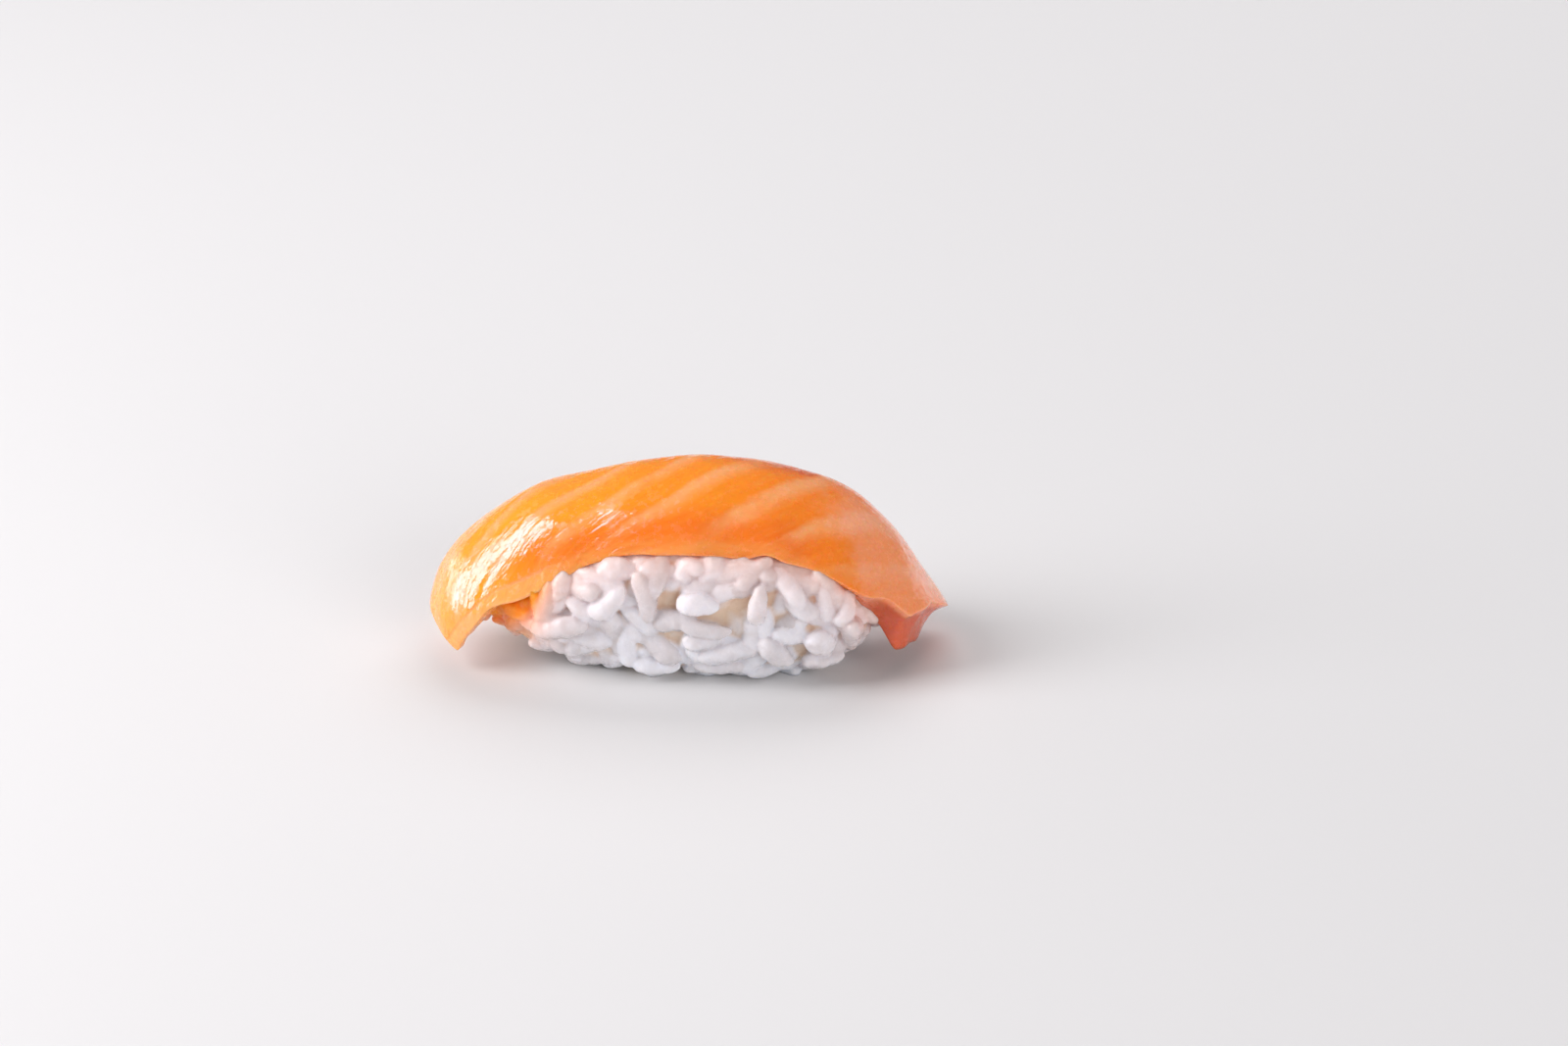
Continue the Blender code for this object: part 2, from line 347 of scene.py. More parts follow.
def slab_bmesh(cells: tuple[int, int], layers: int, crease: float) -> bmesh.types.BMesh:
    """Makes the flat unit slab, 2 by 2 by 1, top at 0, from a grid extruded down.

    Args:
        cells: how many cells it has along and across.
        layers: how many cells its cut sides have from top to bottom.
        crease: how crisp the rims of its cut sides stay under subdivision.

    Returns:
        The slab.
    """
    bm = bmesh.new()
    bmesh.ops.create_grid(bm, x_segments=cells[0], y_segments=cells[1], size=1)
    made = bmesh.ops.extrude_face_region(bm, geom=bm.faces[:])
    lower = [v for v in made["geom"] if isinstance(v, bmesh.types.BMVert)]
    bmesh.ops.translate(bm, verts=lower, vec=(0, 0, -1))
    rims = bm.edges.layers.float.new("crease_edge")
    for edge in bm.edges:
        steep = [abs(f.normal.z) < 0.5 for f in edge.link_faces]
        if any(steep) and not all(steep):
            edge[rims] = crease
    if layers > 1:
        upright = [e for e in bm.edges if abs(e.verts[0].co.z - e.verts[1].co.z) > 0.5]
        bmesh.ops.subdivide_edges(bm, edges=upright, cuts=layers - 1, use_grid_fill=True)
    return bm


@dataclass(frozen=True)
class Loaf:
    """The form of the bare loaf under its showing grains."""

    half: Vector = field(default_factory=lambda: Vector((23.7, 10.2, 10.2)) * MM)
    middle: Vector = field(default_factory=lambda: Vector((-1.6, 0.0, 10.4)) * MM)
    plan_fullness: tuple[float, float] = (2.7, 4.0)
    side_fullness: float = 2.9
    foot_z: float = 0.7 * MM
    left_lift: float = 5.4 * MM
    right_lift: float = 0.3 * MM
    lift_power: float = 1.8
    nudge: float = 0.1 * MM

    def bmesh(self, around: int, upwards: int, room: "Room") -> bmesh.types.BMesh:
        """Pulls a ball to the full rounded loaf and fits it under the slice.

        Args:
            around: the ball's segments.
            upwards: the ball's rings.
            room: what the slice leaves free.

        Returns:
            The loaf in triangles.
        """
        bm = bmesh.new()
        bmesh.ops.create_uvsphere(bm, u_segments=around, v_segments=upwards, radius=1)
        for vert in bm.verts:
            x, y, z = (abs(c) for c in vert.co)
            fullness = self.plan_fullness[vert.co.x > 0]
            plan = (x**fullness + y**fullness) ** (1 / fullness)
            size = (plan**self.side_fullness + z**self.side_fullness) ** (1 / self.side_fullness)
            share = vert.co.x / size
            lift = (self.left_lift if share < 0 else self.right_lift) * abs(share) ** self.lift_power
            vert.co = self.middle + Vector(c * h for c, h in zip(vert.co / size, self.half))
            vert.co.z = max(vert.co.z, self.foot_z + lift)
            vert.co.z = min(vert.co.z, room.height(vert.co))
        bmesh.ops.triangulate(bm, faces=bm.faces)
        bmesh.ops.recalc_face_normals(bm, faces=bm.faces)
        bm.faces.ensure_lookup_table()
        crossing = BVHTree.FromBMesh(bm).overlap(room.slice_tree)
        while crossing:
            for vert in {vert for face, _ in crossing for vert in bm.faces[face].verts}:
                vert.co += (self.middle - vert.co).normalized() * self.nudge
            crossing = BVHTree.FromBMesh(bm).overlap(room.slice_tree)
        return bm


@dataclass(frozen=True)
class Room:
    """What the slice leaves free under it, gap included."""

    slice_tree: BVHTree
    keeps_low: bool = False
    beside: float = 3 * MM
    slack: float = 0.2 * MM

    def height(self, point: Vector) -> float:
        """Gives the height under the slice above a place, or a great height where there is no slice."""
        hit = self.slice_tree.ray_cast(Vector((point.x, point.y, -1)), UP)[0]
        return hit.z if hit else 1.0

    def holds(self, bm: bmesh.types.BMesh) -> bool:
        """Says whether the shape is wholly below or beside the slice.

        Args:
            bm: the shape.

        Returns:
            True where it clears the slice.
        """
        if BVHTree.FromBMesh(bm).overlap(self.slice_tree):
            return False
        if self.keeps_low and any(self._rises_beside(vert.co) for vert in bm.verts):
            return False
        return all(vert.co.z < self.height(vert.co) for vert in bm.verts)

    def _rises_beside(self, point: Vector) -> bool:
        """Says whether a place stands beside the slice's edge rather than below it."""
        near, _, _, gap = self.slice_tree.find_nearest(point)
        return gap < self.beside and point.z > near.z + self.slack


GERM_PLACE = 0.86
GERM_SPREAD = 0.03
GERM_DEPTH = 0.45
GRAIN_RIBS = 4
GRAIN_LUMPS = 0.2
LUMPS_A_MM = 0.45
FULL_MIDDLE = 2.6
FULL_ENDS = 0.46


@dataclass(frozen=True)
class Grain:
    """One cooked grain: its place and its own shape."""

    pose: Matrix
    length: float
    width: float
    bend: float
    blunt: float
    flatness: float = 0.86

    def plain(self, sides: int, rings: int) -> bmesh.types.BMesh:
        """Draws a ball out to a grain along X, blunt at its ends and a little bent, in its place.

        Args:
            sides: how many sides it has round its length.
            rings: how many rings it has from tip to tip.

        Returns:
            The grain.
        """
        bm = bmesh.new()
        bmesh.ops.create_uvsphere(bm, u_segments=sides, v_segments=rings, radius=1)
        for vert in bm.verts:
            along = math.copysign(abs(vert.co.z) ** self.blunt, vert.co.z)
            sideways = Vector((vert.co.x, vert.co.y)) * self.width / 2
            lift = self.bend * (1 - along * along)
            vert.co = Vector((along * self.length / 2, sideways.x, sideways.y * self.flatness + lift))
        bmesh.ops.recalc_face_normals(bm, faces=bm.faces)
        bmesh.ops.transform(bm, matrix=self.pose, verts=bm.verts)
        return bm

    def cooked(self, sides: int, rings: int, rng: random.Random) -> bmesh.types.BMesh:
        """Draws the grain as it is cooked: full in the middle, nicked at the germ, softly ribbed and uneven.

        Args:
            sides: how many sides it has round its length.
            rings: how many rings it has from tip to tip.
            rng: what its unevenness is drawn from.

        Returns:
            The grain.
        """
        seat = Vector(rng.uniform(-50, 50) for _ in range(3))
        taper = rng.uniform(0.05, 0.3)
        nick = rng.uniform(0.2, 0.8)
        rib = rng.uniform(0.015, 0.05)
        turn = rng.uniform(0, math.tau)
        swing = rng.uniform(-0.5, 0.5) * MM
        bm = bmesh.new()
        bmesh.ops.create_uvsphere(bm, u_segments=sides, v_segments=rings, radius=1)
        for vert in bm.verts:
            along = math.copysign(abs(vert.co.z) ** self.blunt, vert.co.z)
            ball = max((1 - vert.co.z**2) ** 0.5, 0.03)
            fullness = (1 - abs(along) ** FULL_MIDDLE) ** FULL_ENDS / ball
            angle = math.atan2(vert.co.y, vert.co.x)
            ribbed = 1 + rib * math.cos(GRAIN_RIBS * angle + turn)
            size = min(fullness, 2.0) * (1 - taper * along) * ribbed
            if abs(vert.co.z) > 0.999:
                size = 0.0
            place = Vector((along * self.length, vert.co.x * 2 * MM, vert.co.y * 2 * MM))
            size *= 1 + GRAIN_LUMPS * noise.noise(seat + place / MM * LUMPS_A_MM)
            germ = math.exp(-((along - GERM_PLACE) ** 2) / GERM_SPREAD)
            hollow = nick * germ * max(math.cos(angle - turn), 0)
            sideways = Vector((vert.co.x, vert.co.y)) * self.width / 2 * size * (1 - GERM_DEPTH * hollow)
            bow = 1 - along * along
            lift = self.bend * bow
            vert.co = Vector(
                (along * self.length / 2, sideways.x + swing * bow, sideways.y * self.flatness + lift)
            )
        bmesh.ops.recalc_face_normals(bm, faces=bm.faces)
        bmesh.ops.transform(bm, matrix=self.pose, verts=bm.verts)
        return bm


class Layer(Enum):
    """The layers of grains on the loaf: standing out, pressed in between them, and right under the slice."""

    SHOWING = "showing"
    PRESSED_IN = "pressed_in"
    UNDER_SLICE = "under_slice"


@dataclass(frozen=True)
class LayerRule:
    """How one layer's grains are spread and shaped."""

    seed: int
    spacing: float
    tries: int
    stand_off: tuple[float, float]
    sides: int
    rings: int
    tight: bool
    nudge: float
    nudges: int
    fullness: float


LAYER_RULES = {
    Layer.SHOWING: LayerRule(7, 3.05 * MM, 9000, (0.05 * MM, 0.5 * MM), 24, 18, False, 0.5 * MM, 4, 0.95),
    Layer.PRESSED_IN: LayerRule(11, 2.0 * MM, 8000, (-0.6 * MM, 0.05 * MM), 18, 14, True, 0.5 * MM, 2, 0.88),
    Layer.UNDER_SLICE: LayerRule(5, 2.4 * MM, 6000, (0.1 * MM, 0.8 * MM), 18, 14, True, 0.2 * MM, 9, 0.88),
}


@dataclass
class RiceHeap:
    """The hand-pressed loaf: a core with its layers of grains, stuck together where they touch.

    A row of shown is a named grain's place along and up, its tilt in degrees, its length and its width.
    A row of left_fill is a grain's place along, out and up, and its tilt. Lengths in both, in bends and in
    shown_off are in millimetres.
    """

    room: Room
    tight_room: Room
    shift: Vector
    loaf: Loaf = field(default_factory=Loaf)
    grain_length: float = 6.9 * MM
    grain_width: float = 3.0 * MM
    unevenness: float = 0.14
    bends: Reach = (-0.3, 0.4)
    blunts: Reach = (0.75, 0.95)
    tipping: float = math.radians(11)
    shown_off: Reach = (0.55, 0.8)
    fill_off: float = 0.2 * MM
    fit_sides: tuple[int, int] = (5, 4)
    fit_cells: tuple[int, int] = (28, 12)
    core_cells: tuple[int, int] = (64, 32)
    core_height: float = 0.35 * MM
    stickiness: float = 0.2 * MM
    kept_share: float = 0.64
    softness: float = 0.12
    under_reach: float = 2.6 * MM
    edge_slack: float = 0.5 * MM
    proud: float = 0.75 * MM
    left_end: Vector = field(default_factory=lambda: Vector((-20.5, 0, 7.0)) * MM)
    left_tuck: Vector = field(default_factory=lambda: Vector((0.4, 0.3, 1.2)) * MM)
    glow_reach: float = 3.0 * MM
    tones: Reach = (0.2, 1.0)
    shown: tuple[tuple[float, float, float, float, float], ...] = (
        (-3.6, 1.3, -2, 6.2, 2.6),
        (4.5, 1.7, 0, 7.6, 2.7),
        (5.2, 4.7, 13, 7.8, 3.1),
        (2.6, 8.4, -8, 6.9, 2.3),
        (2.1, 6.6, 6, 5.2, 2.2),
        (16.6, 5.4, -52, 4.6, 3.4),
        (17.6, 2.6, 2, 5.8, 2.7),
        (22.4, 4.4, -62, 7.2, 2.9),
        (20.0, 11.2, 72, 4.8, 2.6),
        (9.0, 11.6, 80, 5.6, 2.5),
        (1.7, 11.4, -4, 5.6, 3.0),
        (-5.0, 12.2, -78, 7.2, 2.8),
        (-15.4, 7.2, 13, 8.0, 3.2),
        (-9.3, 11.4, 46, 6.2, 2.7),
        (11.2, 4.9, -46, 6.0, 2.8),
    )
    left_fill: tuple[tuple[float, float, float, float], ...] = (
        (-23.5, -7.0, 6.0, 40),
        (-24.5, -4.0, 6.6, 20),
        (-21.5, -9.0, 7.0, 60),
        (-22.5, -8.0, 9.0, 80),
    )

    def grains(self, layer: Layer) -> list[Grain]:
        """Spreads a layer's grains, the named ones first, wherever there is room.

        Args:
            layer: which layer.

        Returns:
            The grains that found room.
        """
        rule = LAYER_RULES[layer]
        rng = random.Random(rule.seed)
        tree = tree_from(self.loaf.bmesh(*self.fit_cells, self.room))
        room = self.tight_room if rule.tight else self.room
        laid: list[Grain] = []
        centres: list[Vector] = []

        def lay(point: Vector, normal: Vector, turn: float, tip: float, off: float, shape: tuple) -> None:
            """Lays one grain where it finds room.

            Args:
                point: the place on the loaf.
                normal: the way out of the loaf there.
                turn: its turn about the normal.
                tip: how far its end is tipped out.
                off: how far its middle stands off.
                shape: its length, width, bend and bluntness.
            """
            pose = self._pose(point, normal, turn, tip, off)
            grain = self._settled(Grain(pose, *shape), normal, room, rule)
            if grain:
                centres.append(point)
                laid.append(grain)

        for along, height, tilt, length, width in self.shown if layer is Layer.SHOWING else ():
            place = Vector((along * MM, -self.loaf.half.y, height * MM))
            point, normal = tree.find_nearest(place)[:2]
            shape = length * MM, width * MM, rng.uniform(*self.bends) * MM, rng.uniform(*self.blunts)
            lay(point, normal, math.radians(tilt), 0.0, rng.uniform(*self.shown_off) * MM, shape)
        for _ in range(rule.tries):
            way = Vector(rng.gauss(0, 1) * half for half in self.loaf.half)
            point, normal = tree.ray_cast(self.loaf.middle, way)[:2]
            turn = rng.uniform(0, math.pi)
            tip = rng.gauss(0, self.tipping)
            off = rng.uniform(*rule.stand_off)
            length = self.grain_length * (1 + rng.uniform(-1, 1) * self.unevenness)
            width = self.grain_width * (1 + rng.uniform(-1, 1) * self.unevenness)
            shape = length, width, rng.uniform(*self.bends) * MM, rng.uniform(*self.blunts)
            if layer is Layer.UNDER_SLICE and not self._by_slice(point):
                continue
            if all((point - other).length > rule.spacing for other in centres):
                lay(point, normal, turn, tip, off, shape)
        for along, out, height, tilt in self.left_fill if layer is Layer.PRESSED_IN else ():
            point, normal = tree.find_nearest(Vector((along, out, height)) * MM)[:2]
            shape = self.grain_length, self.grain_width, 0.0, 0.9
            lay(point, normal, math.radians(tilt), 0.0, self.fill_off, shape)
        forward = Vector((0, -self.proud, 0))
        named = len(self.shown) if layer is Layer.SHOWING else 0
        laid = [self._tucked(grain) for grain in laid]
        return [self._moved(grain, forward) for grain in laid[:named]] + laid[named:]

    def _moved(self, grain: Grain, way: Vector) -> Grain:
        """Moves a grain."""
        return replace(grain, pose=Matrix.Translation(way) @ grain.pose)

    def _tucked(self, grain: Grain) -> Grain:
        """Tucks a grain up if it hangs low under the lifted left end.

        Args:
            grain: the grain.

        Returns:
            The grain in its last place.
        """
        middle = grain.pose.translation
        hangs = middle.x < self.left_end.x and middle.z < self.left_end.z
        return self._moved(grain, self.left_tuck) if hangs else grain

    def _by_slice(self, point: Vector) -> bool:
        """Says whether a place on the loaf is just below the slice's edge."""
        near, _, _, gap = self.room.slice_tree.find_nearest(point)
        return gap < self.under_reach and near.z > point.z - self.edge_slack

    def _pose(self, point: Vector, normal: Vector, turn: float, tip: float, off: float) -> Matrix:
        """Lays a grain on the loaf.

        Args:
            point: the place on the loaf.
            normal: the way out of the loaf there.
            turn: the grain's turn about the normal, from level.
            tip: how far its end is tipped out of the surface.
            off: how far its middle stands off the surface.

        Returns:
            The grain's matrix.
        """
        level = UP.cross(normal)
        level = level.normalized() if level.length > 0.05 else Vector((1, 0, 0))
        along = Matrix.Rotation(turn, 3, normal) @ level
        across = normal.cross(along).normalized()
        along = Matrix.Rotation(tip, 3, across) @ along
        rotation = Matrix((along, across, along.cross(across))).transposed()
        return Matrix.Translation(point + normal * off) @ rotation.to_4x4()

    def _settled(self, grain: Grain, normal: Vector, room: Room, rule: LayerRule) -> Grain | None:
        """Moves a grain down and out until it clears the slice.

        Args:
            grain: the grain as first laid.
            normal: the way out of the loaf there.
            room: what the slice leaves free.
            rule: the rule of its layer.

        Returns:
            The grain in its last place, or None if it finds no room.
        """
        outwards = Vector((normal.x, normal.y, -1)).normalized() * rule.nudge
        for _ in range(rule.nudges):
            bm = grain.plain(*self.fit_sides)
            free = room.holds(bm)
            bm.free()
            if free:
                return grain
            grain = self._moved(grain, outwards)
        return None

    def _heaped(self, heap: bmesh.types.BMesh, tones: list[float]) -> None:
        """Adds the cooked grains of every layer to a heap.

        Args:
            heap: the heap, which is also moved to the CAD's origin.
            tones: the tone of each of the heap's faces, which grows with it.
        """
        for layer in Layer:
            rule = LAYER_RULES[layer]
            looks = random.Random(rule.seed + 1)
            grains = self.grains(layer)
            for grain in grains:
                length, width = grain.length * rule.fullness, grain.width * rule.fullness
                bm = replace(grain, length=length, width=width).cooked(rule.sides, rule.rings, looks)
                tones += [looks.uniform(*self.tones)] * len(bm.faces)
                single = mesh_from(bm, "grain")
                heap.from_mesh(single)
                bpy.data.meshes.remove(single)
            LOG.info("%s grains: %d", layer.value, len(grains))
        bmesh.ops.translate(heap, verts=heap.verts, vec=self.shift)

    def _stuck(self, loose: bmesh.types.BMesh) -> bmesh.types.BMesh:
        """Sticks loose shapes together where they touch.

        Args:
            loose: the shapes, which are freed.

        Returns:
            The one skin round them all.
        """
        obj = new_object("loose_rice", mesh_from(loose, "loose_rice"))
        modifier = obj.modifiers.new("Sticky grains", "REMESH")
        modifier.mode = "VOXEL"
        modifier.voxel_size = self.stickiness
        thinner = obj.modifiers.new("Fewer faces", "DECIMATE")
        thinner.ratio = self.kept_share
        bm = finished_bmesh(obj)
        bpy.data.objects.remove(obj)
        keep_largest(bm)
        every_way = {"use_axis_x": True, "use_axis_y": True, "use_axis_z": True}
        bmesh.ops.smooth_vert(bm, verts=bm.verts, factor=self.softness, **every_way)
        return bm

    def _toned(self, bm: bmesh.types.BMesh, source: BVHTree, tones: list[float]) -> None:
        """Keeps on each point its grain's tone and its height over the loaf.

        Args:
            bm: the shape.
            source: the loose faces that the tones belong to.
            tones: the tone of each of those faces.
        """
        tone = bm.verts.layers.float.new("grain_tone")
        height = bm.verts.layers.float.new("height_mm")
        loaf = tree_from(self.loaf.bmesh(*self.fit_cells, self.room))
        for vert in bm.verts:
            vert[tone] = tones[source.find_nearest(vert.co)[2]]
            near, normal, _, gap = loaf.find_nearest(vert.co - self.shift)
            vert[height] = math.copysign(gap, (vert.co - self.shift - near).dot(normal)) / MM
            vert.co.z = max(vert.co.z, 0.0)

    def glow(self, piece: bpy.types.Object, fish: BVHTree) -> None:
        """Keeps on each point of the heap how near the fish is, which sets the orange light painted on the
        grains beside it.
        """
        near = [math.exp(-fish.find_nearest(vert.co)[3] / self.glow_reach) for vert in piece.data.vertices]
        piece.data.attributes.new("fish_glow", "FLOAT", "POINT").data.foreach_set("value", near)

    def build(self) -> bpy.types.Object:
        """Makes the heap and sticks its grains together where they touch.

        Returns:
            The piece, undressed.
        """
        heap = self.loaf.bmesh(*self.core_cells, self.tight_room)
        for vert in heap.verts:
            vert.co += vert.normal * self.core_height
        tones = [0.0] * len(heap.faces)
        self._heaped(heap, tones)
        source = BVHTree.FromBMesh(heap)
        heap = self._stuck(heap)
        self._toned(heap, source, tones)
        piece = new_object("rice_heap", mesh_from(heap, "rice_heap"))
        piece.data.shade_smooth()
        return piece


@dataclass
class SalmonSlice:
    """The slice of raw salmon: swollen between its lines of fat, cut slantwise at its right end."""

    shift: Vector
    drape: Drape = field(default_factory=Drape)
    cells: tuple[int, int] = (80, 32)
    layers: int = 4
    crease: float = 0.45
    levels: int = 2
    swell: float = 0.3 * MM
    swell_scale: float = 7.0 * MM
    ragged: float = 0.45 * MM
    ragged_scale: float = 3.8 * MM
    rim_power: int = 12
    hollow_cut: float = 0.9 * MM
    cut_power: int = 10
    cut_back: float = 1.5 * MM
    cut_back_place: float = -0.3
    cut_back_width: float = 0.6
    rest_on_rice: float = 0.35 * MM
    front_lip: float = 0.6 * MM
    lip_power: int = 4
    left_power: int = 6
    edge_drop: float = 1.8 * MM
    drop_power: int = 6
    edge_bite: float = 0.7 * MM
    edge_smoothing: int = 3

    def _drops(self, bed: BVHTree, side: int) -> list[float]:
        """Finds how far a long edge hangs over the rice, from its left end to its right.

        Args:
            bed: the rice.
            side: -1 for the front edge, 1 for the back edge.

        Returns:
            The gap under each point of the edge, softened along it.
        """
        gaps: list[float | None] = []
        for i in range(self.cells[0] + 1):
            place = self.drape.flat_place(2 * i / self.cells[0] - 1, side, 0.6)
            edge = self.drape.point(*place)
            way = (edge - self.drape.point(place.x, place.y - side * MM, place.z)).normalized()
            hit, normal, _, gap = bed.ray_cast(edge + self.shift, way, self.edge_drop)
            gaps.append(None if hit is None else self.edge_bite + (gap if normal.dot(way) < 0 else 0.0))
        filled = []
        for i, own in enumerate(gaps):
            known = [gap for gap in gaps[max(i - 3, 0) : i + 4] if gap is not None]
            filled.append(own if own is not None else sum(known) / max(len(known), 1))
        for _ in range(self.edge_smoothing):
            ends = [filled[0], *filled, filled[-1]]
            filled = [(ends[i] + 2 * ends[i + 1] + ends[i + 2]) / 4 for i in range(len(filled))]
        return filled

    def build(self, bed: BVHTree) -> bpy.types.Object:
        """Makes the slab, bends it over the rice and keeps its flat place in an attribute.

        Args:
            bed: the rice that its long edges sink onto.

        Returns:
            The piece, undressed.
        """
        drops = {side: self._drops(bed, side) for side in (-1, 1)}
        bm = slab_bmesh(self.cells, self.layers, self.crease)
        flat = bm.verts.layers.float_vector.new("flat_mm")
        edge = bm.verts.layers.float.new("edge_mm")
        for vert in bm.verts:
            a, b, c = vert.co.x, vert.co.y, -vert.co.z
            place = self.drape.flat_place(a, b, c)
            vert[flat] = Vector((place.x, place.y, c * self.drape.thickness)) / MM
            end = self.drape.flat_place(a, -1.0, 0.0)
            vert[edge] = (place.y - end.y) / MM
            rise = noise.noise(place / self.swell_scale) * self.swell * (1 - c)
            rim = max(abs(a), abs(b)) ** self.rim_power
            seat = Vector((place.x, place.y, place.z * 2)) / self.ragged_scale
            frayed = noise.noise(seat) * self.ragged * rim
            cut = max(a, 0.0) ** self.cut_power
            s = place.x - cut * self.hollow_cut * math.sin(math.pi * c)
            dent = math.exp(-(((b - self.cut_back_place) / self.cut_back_width) ** 2))
            s -= cut * self.cut_back * (1 - c) * dent + frayed * abs(a)
            t = place.y - math.copysign(frayed * abs(b), b)
            side = -1 if b < 0 else 1
            drop = drops[side][round((a + 1) / 2 * self.cells[0])]
            t += side * drop * b**self.drop_power * (1 - max(a, 0.0) ** self.rim_power)
            lip = self.rest_on_rice + self.front_lip * max(-b, 0.0) ** self.lip_power
            depth = place.z - rise + lip * c * (1 - max(-a, 0.0) ** self.left_power)
            vert.co = self.drape.point(s, t, depth)
        bmesh.ops.recalc_face_normals(bm, faces=bm.faces)
        bmesh.ops.translate(bm, verts=bm.verts, vec=self.shift)
        piece = new_object("salmon_slice", mesh_from(bm, "salmon_slice"))
        smooth_levels(piece, self.levels)
        piece.data.shade_smooth()
        return piece


def cad_slice() -> bmesh.types.BMesh:
    """Builds the slice as the CAD has it.

    Returns:
        The slice in triangles, in the frame that part.py starts from.
    """
    drape = Drape()
    bm = slab_bmesh((20, 8), 1, 0.8)
    for vert in bm.verts:
        vert.co = drape.point(*drape.flat_place(vert.co.x, vert.co.y, -vert.co.z))
    bmesh.ops.recalc_face_normals(bm, faces=bm.faces)
    obj = new_object("fit_slice", mesh_from(bm, "fit_slice"))
    smooth_levels(obj, 1)
    evaluated = evaluated_bmesh(obj)
    bpy.data.objects.remove(obj)
    return evaluated


def room_under(growth: float, keeps_low: bool = False) -> Room:
    """Grows the CAD's slice and gives what it leaves free.

    Args:
        growth: how far the slice grows along its normals.
        keeps_low: whether nothing may rise beside its edge.

    Returns:
        The room under it.
    """
    grown = cad_slice()
    moves = [vert.normal * growth for vert in grown.verts]
    for vert, move in zip(grown.verts, moves):
        vert.co += move
    return Room(tree_from(grown), keeps_low)


def cad_shift() -> Vector:
    """Finds the way from part.py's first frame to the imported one.

    Returns:
        The shift.
    """
    bare = cad_slice()
    low = Vector(min(vert.co[k] for vert in bare.verts) for k in range(3))
    bare.free()
    return Vector(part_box("salmon")[0]) - low


class Bench:
    """A node tree under construction, with short ways to add the nodes that the finishes use."""

    def __init__(self, tree: bpy.types.NodeTree) -> None:
        """Starts on a material's or a group's node tree."""
        self.tree = tree

    def node(
        self, kind: str, values: dict[str | int, Value] | None = None, **settings: object
    ) -> bpy.types.Node:
        """Adds a node.

        Args:
            kind: the node's type.
            values: what goes into its inputs, each a socket or a constant.
            **settings: the node's own settings.

        Returns:
            The node.
        """
        made = self.tree.nodes.new(kind)
        for key, value in settings.items():
            setattr(made, key, value)
        for key, value in (values or {}).items():
            self.feed(made.inputs[key], value)
        return made

    def feed(self, socket: Socket, value: Value) -> None:
        """Links a socket or sets a constant.

        Args:
            socket: the input.
            value: another node's output, or a number or colour.
        """
        if isinstance(value, Socket):
            self.tree.links.new(value, socket)
        else:
            socket.default_value = value

    def sums(self, operation: str, *values: Value) -> Socket:
        """Does one sum, named as the Math node's operation, with its inputs in order."""
        return self.node("ShaderNodeMath", dict(enumerate(values)), operation=operation).outputs[0]

    def times(self, first: Value, second: Value) -> Socket:
        """Multiplies two values."""
        return self.sums("MULTIPLY", first, second)

    def times_plus(self, first: Value, second: Value, added: Value) -> Socket:
        """Multiplies two values and adds a third."""
        return self.sums("MULTIPLY_ADD", first, second, added)

    def ramped(self, value: Value, start: float, end: float, low: float = 0.0, high: float = 1.0) -> Socket:
        """Maps a value softly, from low at the start to high at the end, and holds it beyond them."""
        values = {"Value": value, "From Min": start, "From Max": end, "To Min": low, "To Max": high}
        return self.node("ShaderNodeMapRange", values, interpolation_type="SMOOTHSTEP").outputs[0]

    def mixed(self, share: Value, first: Value, second: Value) -> Socket:
        """Mixes a share of the second colour into the first."""
        return self.node("ShaderNodeMix", {0: share, 6: first, 7: second}, data_type="RGBA").outputs[2]

    def noise(self, vector: Value, scale: float, detail: float = 2.0, roughness: float = 0.5) -> Socket:
        """Gives a noise about 0.5, with its waves a unit, its octaves and how strong the finer are."""
        values = {"Vector": vector, "Scale": scale, "Detail": detail, "Roughness": roughness}
        return self.node("ShaderNodeTexNoise", values).outputs["Fac"]

    def fibres(
        self, along: Value, across: Value, waves: Reach, detail: float, roughness: float = 0.5
    ) -> Socket:
        """Gives a noise drawn out into fibres.

        Args:
            along: the place along.
            across: the place across.
            waves: its waves a millimetre, along and across.
            detail: its octaves.
            roughness: how strong the finer octaves are.

        Returns:
            The noise, about 0.5.
        """
        values = {0: self.times(along, waves[0]), 1: self.times(across, waves[1])}
        place = self.node("ShaderNodeCombineXYZ", values).outputs[0]
        return self.noise(place, 1.0, detail, roughness)

    def place_mm(self) -> Socket:
        """Gives the Object coordinates in millimetres."""
        place = self.node("ShaderNodeTexCoord").outputs["Object"]
        return self.node("ShaderNodeVectorMath", {0: place, 3: 1 / MM}, operation="SCALE").outputs[0]

    def carried(self, name: str, output: str = "Fac") -> Socket:
        """Reads an attribute of the piece."""
        return self.node("ShaderNodeAttribute", attribute_name=name).outputs[output]


